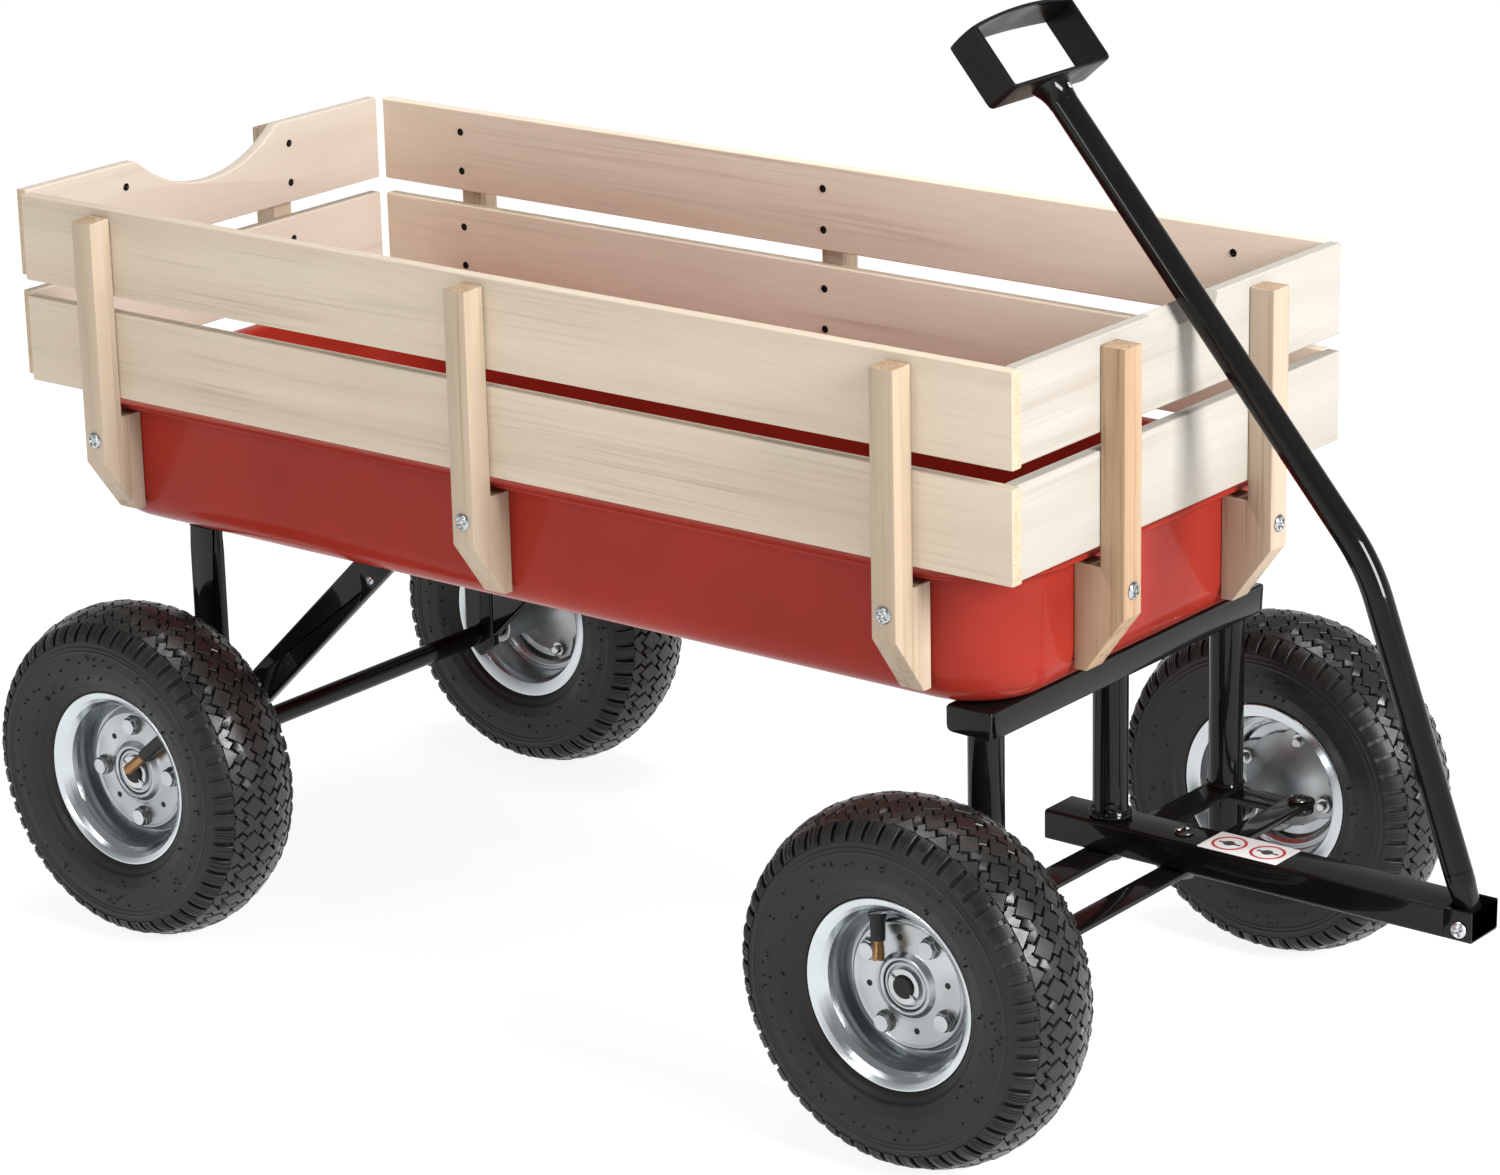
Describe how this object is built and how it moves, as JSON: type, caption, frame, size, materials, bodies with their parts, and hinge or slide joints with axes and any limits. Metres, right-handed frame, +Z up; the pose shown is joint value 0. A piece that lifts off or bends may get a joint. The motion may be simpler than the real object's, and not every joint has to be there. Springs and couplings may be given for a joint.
{
  "type": "garden cart",
  "caption": "Four-wheel garden cart with a red pressed-steel tray, slatted wooden sides, steered front wheels with pneumatic tyres and a cranked black pull handle.",
  "frame": {"origin": "on the ground under the middle of the cart's bounding box", "axes": "+X forward towards the pull handle's pivot, +Y to the cart's left, +Z up"},
  "size_m": [1.179, 0.549, 0.7414],
  "materials": {
    "red_paint": "gloss red enamel",
    "wood_slat": "pale sealed softwood boards",
    "wood_stake": "pinkish tan sealed softwood",
    "black_paint": "gloss black powder coat",
    "zinc": "bright zinc plating",
    "wheel_steel": "bluish zinc plating",
    "tyre": "matt black rubber with a block tread",
    "valve_rubber": "satin"
  },
  "bodies": {
    "chassis": {"tray": "red_paint", "left_slat_lower": "wood_slat", "left_slat_upper": "wood_slat", "right_slat_lower": "wood_slat", "right_slat_upper": "wood_slat", "front_slat_lower": "wood_slat", "front_slat_upper": "wood_slat", "rear_slat_lower": "wood_slat", "rear_slat_upper": "wood_slat", "left_stake_rear": "wood_stake", "left_stake_middle": "wood_stake", "left_stake_front": "wood_stake", "right_stake_rear": "wood_stake", "right_stake_middle": "wood_stake", "right_stake_front": "wood_stake", "front_stake_left": "wood_stake", "front_stake_right": "wood_stake", "rear_stake_left": "wood_stake", "rear_stake_right": "wood_stake", "front_crossbeam": "black_paint", "front_leg_left": "black_paint", "front_leg_right": "black_paint", "king_post": "black_paint", "lower_cross_bar": "black_paint", "king_bolt": "zinc", "rear_crossbeam": "black_paint", "rear_leg_left": "black_paint", "rear_leg_right": "black_paint", "rear_brace_left": "black_paint", "rear_brace_right": "black_paint", "rear_axle": "black_paint"},
    "tongue": {"tongue": "black_paint", "tie_bolt": "zinc", "handle_pivot_bolt": "zinc"},
    "handle": {"handle_tube": "black_paint", "handle_grip": "black_paint"},
    "tie_rod": {"tie_rod": "black_paint"},
    "knuckle_left": {"steering_knuckle_left": "black_paint", "tie_rod_bolt_left": "zinc"},
    "knuckle_right": {"steering_knuckle_right": "black_paint", "tie_rod_bolt_right": "zinc"},
    "front_left_wheel": {"front_left_tyre": "tyre", "front_left_rim": "wheel_steel", "front_left_hub": "wheel_steel", "front_left_valve_stem": "valve_rubber"},
    "front_right_wheel": {"front_right_tyre": "tyre", "front_right_rim": "wheel_steel", "front_right_hub": "wheel_steel", "front_right_valve_stem": "valve_rubber"},
    "rear_left_wheel": {"rear_left_tyre": "tyre", "rear_left_rim": "wheel_steel", "rear_left_hub": "wheel_steel", "rear_left_valve_stem": "valve_rubber"},
    "rear_right_wheel": {"rear_right_tyre": "tyre", "rear_right_rim": "wheel_steel", "rear_right_hub": "wheel_steel", "rear_right_valve_stem": "valve_rubber"}
  },
  "joints": [
    {"name": "tongue_steer", "type": "hinge", "parent": "chassis", "child": "tongue", "pos_m": [0.291, 0, 0.1645], "axis": [0, 0, 1], "range_deg": [-25, 25]},
    {"name": "tie_rod_swing", "type": "hinge", "parent": "tongue", "child": "tie_rod", "pos_m": [0.3525, 0, 0.151], "axis": [0, 0, 1], "range_deg": [-25, 25]},
    {"name": "knuckle_left_steer", "type": "hinge", "parent": "chassis", "child": "knuckle_left", "pos_m": [0.291, 0.15, 0.151], "axis": [0, 0, 1], "range_deg": [-25, 25]},
    {"name": "knuckle_right_steer", "type": "hinge", "parent": "chassis", "child": "knuckle_right", "pos_m": [0.291, -0.15, 0.151], "axis": [0, 0, 1], "range_deg": [-25, 25]},
    {"name": "handle_pitch", "type": "hinge", "parent": "tongue", "child": "handle", "pos_m": [0.5805, 0, 0.1625], "axis": [0, 1, 0], "range_deg": [0, 105]},
    {"name": "front_left_wheel_spin", "type": "hinge", "parent": "knuckle_left", "child": "front_left_wheel", "pos_m": [0.291, 0.233, 0.13], "axis": [0, 1, 0], "continuous": true},
    {"name": "front_right_wheel_spin", "type": "hinge", "parent": "knuckle_right", "child": "front_right_wheel", "pos_m": [0.291, -0.233, 0.13], "axis": [0, 1, 0], "continuous": true},
    {"name": "rear_left_wheel_spin", "type": "hinge", "parent": "chassis", "child": "rear_left_wheel", "pos_m": [-0.4305, 0.233, 0.13], "axis": [0, 1, 0], "continuous": true},
    {"name": "rear_right_wheel_spin", "type": "hinge", "parent": "chassis", "child": "rear_right_wheel", "pos_m": [-0.4305, -0.233, 0.13], "axis": [0, 1, 0], "continuous": true}
  ],
  "couplings": [
    {"joint": "tie_rod_swing", "follows": "tongue_steer", "ratio": -1},
    {"joint": "knuckle_left_steer", "follows": "tongue_steer", "ratio": 1},
    {"joint": "knuckle_right_steer", "follows": "tongue_steer", "ratio": 1}
  ]
}
